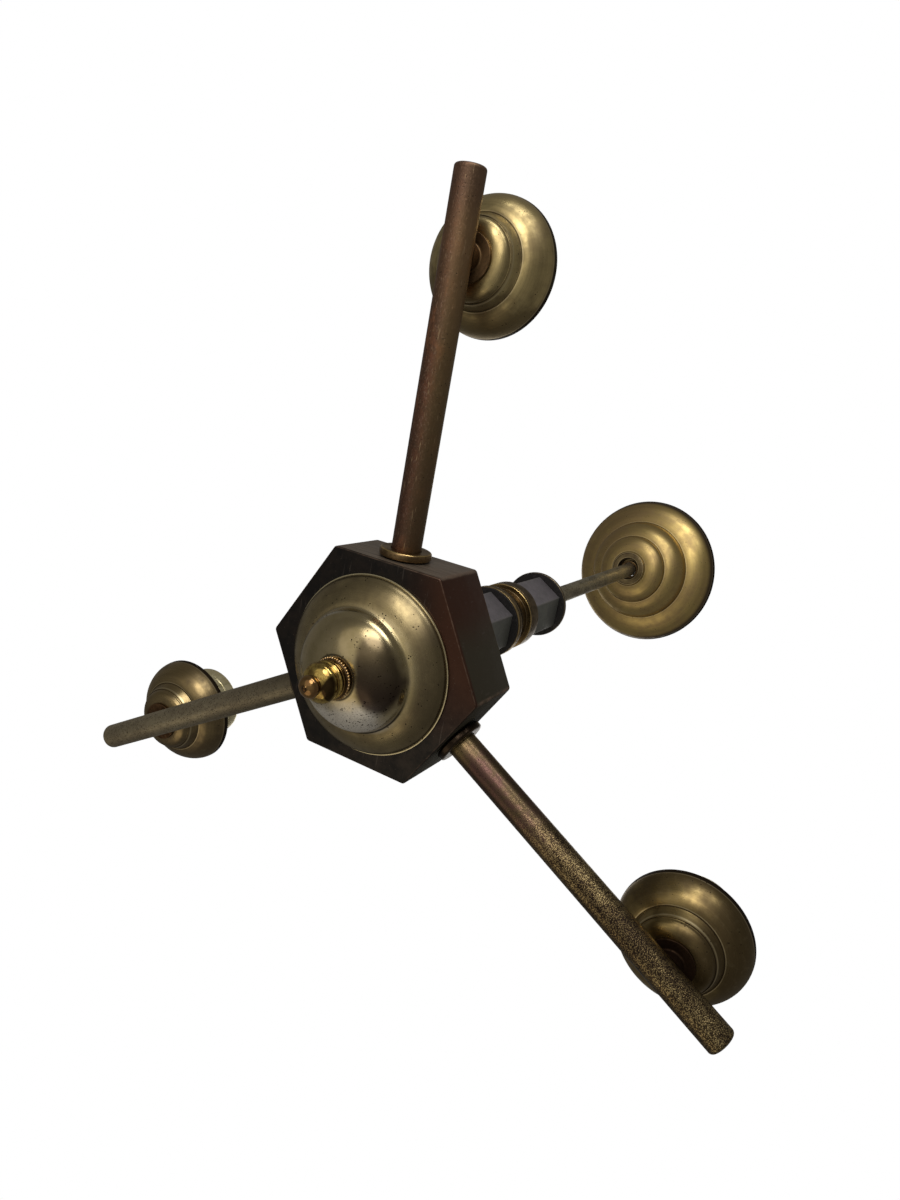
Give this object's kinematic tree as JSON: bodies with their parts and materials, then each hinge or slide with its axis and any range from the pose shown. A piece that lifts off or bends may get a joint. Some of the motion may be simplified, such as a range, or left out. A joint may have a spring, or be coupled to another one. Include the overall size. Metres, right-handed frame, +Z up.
{
  "type": "chandelier",
  "caption": "Hanging lamp with a hexagonal hub, straight radiating arms with upright bell cups and lampholders, a stacked column, a stem with an eye and a stepped canopy.",
  "frame": {"origin": "the point inside the top of the hanging eye where the ceiling hook bears", "axes": "+Z up along the stem, +Y along the first arm, +X to the right of it seen from above"},
  "size_m": [0.4903, 0.4428, 0.6271],
  "materials": {
    "hub_patina": "dark brown patina, satin",
    "arm_patina": "mottled brown patina, satin",
    "aged_brass": "aged brass, satin with stains",
    "brown_brass": "browned brass, satin",
    "polished_brass": "polished brass",
    "pale_brass": "pale satin brass",
    "gunmetal": "blackened, matt",
    "steel": "plain turned steel",
    "stem_patina": "pitted grey-brown patina",
    "fibre": "black fibre, matt",
    "porcelain": "glazed porcelain",
    "insulation": "braided red-brown insulation"
  },
  "bodies": {
    "fixture": {"hub_shell": "hub_patina", "hub_washer": "steel", "hub_locknut": "steel", "centre_tube": "steel", "terminal_block": "porcelain", "supply_lead": "insulation", "base_flange": "brown_brass", "lower_spool": "brown_brass", "lower_hex_bar": "gunmetal", "lower_fibre_washer": "fibre", "upper_spool": "brown_brass", "upper_hex_bar": "gunmetal", "upper_fibre_washer": "fibre", "top_disc": "brown_brass", "stem_tube": "stem_patina", "hanging_eye": "steel", "arm_tube_1": "arm_patina", "arm_plug_1": "arm_patina", "arm_collar_1": "brown_brass", "arm_locknut_1": "steel", "cup_saddle_1": "brown_brass", "cup_nipple_1": "steel", "bell_cup_1": "aged_brass", "lampholder_cap_1": "pale_brass", "lampholder_core_1": "porcelain", "lampholder_sleeve_1": "pale_brass", "lamp_lead_1": "insulation", "arm_tube_2": "arm_patina", "arm_plug_2": "arm_patina", "arm_collar_2": "brown_brass", "arm_locknut_2": "steel", "cup_saddle_2": "brown_brass", "cup_nipple_2": "steel", "bell_cup_2": "aged_brass", "lampholder_cap_2": "pale_brass", "lampholder_core_2": "porcelain", "lampholder_sleeve_2": "pale_brass", "lamp_lead_2": "insulation", "arm_tube_3": "arm_patina", "arm_plug_3": "arm_patina", "arm_collar_3": "brown_brass", "arm_locknut_3": "steel", "cup_saddle_3": "brown_brass", "cup_nipple_3": "steel", "bell_cup_3": "aged_brass", "lampholder_cap_3": "pale_brass", "lampholder_core_3": "porcelain", "lampholder_sleeve_3": "pale_brass", "lamp_lead_3": "insulation"},
    "canopy_clamp": {"clamp_ring": "brown_brass"},
    "canopy": {"canopy_shell": "aged_brass", "canopy_bush": "aged_brass"},
    "cover": {"dome_cover": "aged_brass", "bead_ring": "polished_brass"},
    "finial": {"finial": "polished_brass"},
    "ring_1": {"shade_ring_1": "pale_brass"},
    "ring_2": {"shade_ring_2": "pale_brass"},
    "ring_3": {"shade_ring_3": "pale_brass"}
  },
  "joints": [
    {"name": "canopy_slide", "type": "slide", "parent": "fixture", "child": "canopy_clamp", "axis": [0, 0, -1], "range_m": [0, 0.24]},
    {"name": "canopy_lean", "type": "hinge", "parent": "canopy_clamp", "child": "canopy", "pos_m": [0, 0, -0.0292], "axis": [0.7627, -0.6468, 0], "range_deg": [-19.4, 0]},
    {"name": "cover_drop", "type": "slide", "parent": "fixture", "child": "cover", "axis": [0, 0, -1], "range_m": [0, 0.01]},
    {"name": "finial_turn", "type": "hinge", "parent": "cover", "child": "finial", "pos_m": [0, 0, -0.585], "axis": [0, 0, -1], "range_deg": [0, 3600]},
    {"name": "ring_1_turn", "type": "hinge", "parent": "fixture", "child": "ring_1", "pos_m": [0, 0.236, -0.453], "axis": [0, 0, 1], "range_deg": [0, 720]},
    {"name": "ring_2_turn", "type": "hinge", "parent": "fixture", "child": "ring_2", "pos_m": [-0.2054, -0.11621, -0.453], "axis": [0, 0, 1], "range_deg": [0, 720]},
    {"name": "ring_3_turn", "type": "hinge", "parent": "fixture", "child": "ring_3", "pos_m": [0.20265, -0.121, -0.45308], "axis": [0.0256, 0.0416, 0.9988], "range_deg": [0, 720]}
  ],
  "couplings": [
    {"joint": "cover_drop", "follows": "finial_turn", "m_per_rad": 0.00015915}
  ]
}
